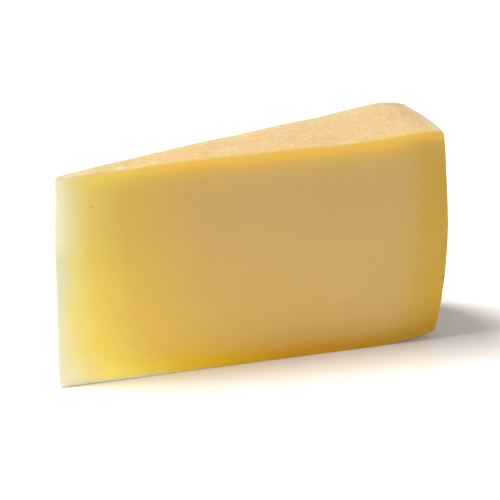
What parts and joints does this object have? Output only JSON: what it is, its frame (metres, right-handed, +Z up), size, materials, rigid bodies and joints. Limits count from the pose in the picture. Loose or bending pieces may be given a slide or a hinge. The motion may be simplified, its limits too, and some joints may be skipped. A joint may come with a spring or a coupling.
{
  "type": "alpine cheese wedge",
  "caption": "Wedge of pressed mountain cheese that stands on its rind, with smooth flat cut faces that meet at a narrow tip and a rounded rind side.",
  "frame": {"origin": "bottom centre of the wedge's bounding box, on the surface it stands on", "axes": "+X from the tip to the rind side, +Y across the wedge to the far cut, +Z up along the wheel's height"},
  "size_m": [0.1586, 0.0434, 0.086],
  "materials": {
    "cheese": "satin waxy golden paste on the cuts, paler at the tip, with a dry peach-tan rind"
  },
  "bodies": {
    "root": {"cheese_wedge": "cheese"}
  },
  "joints": []
}
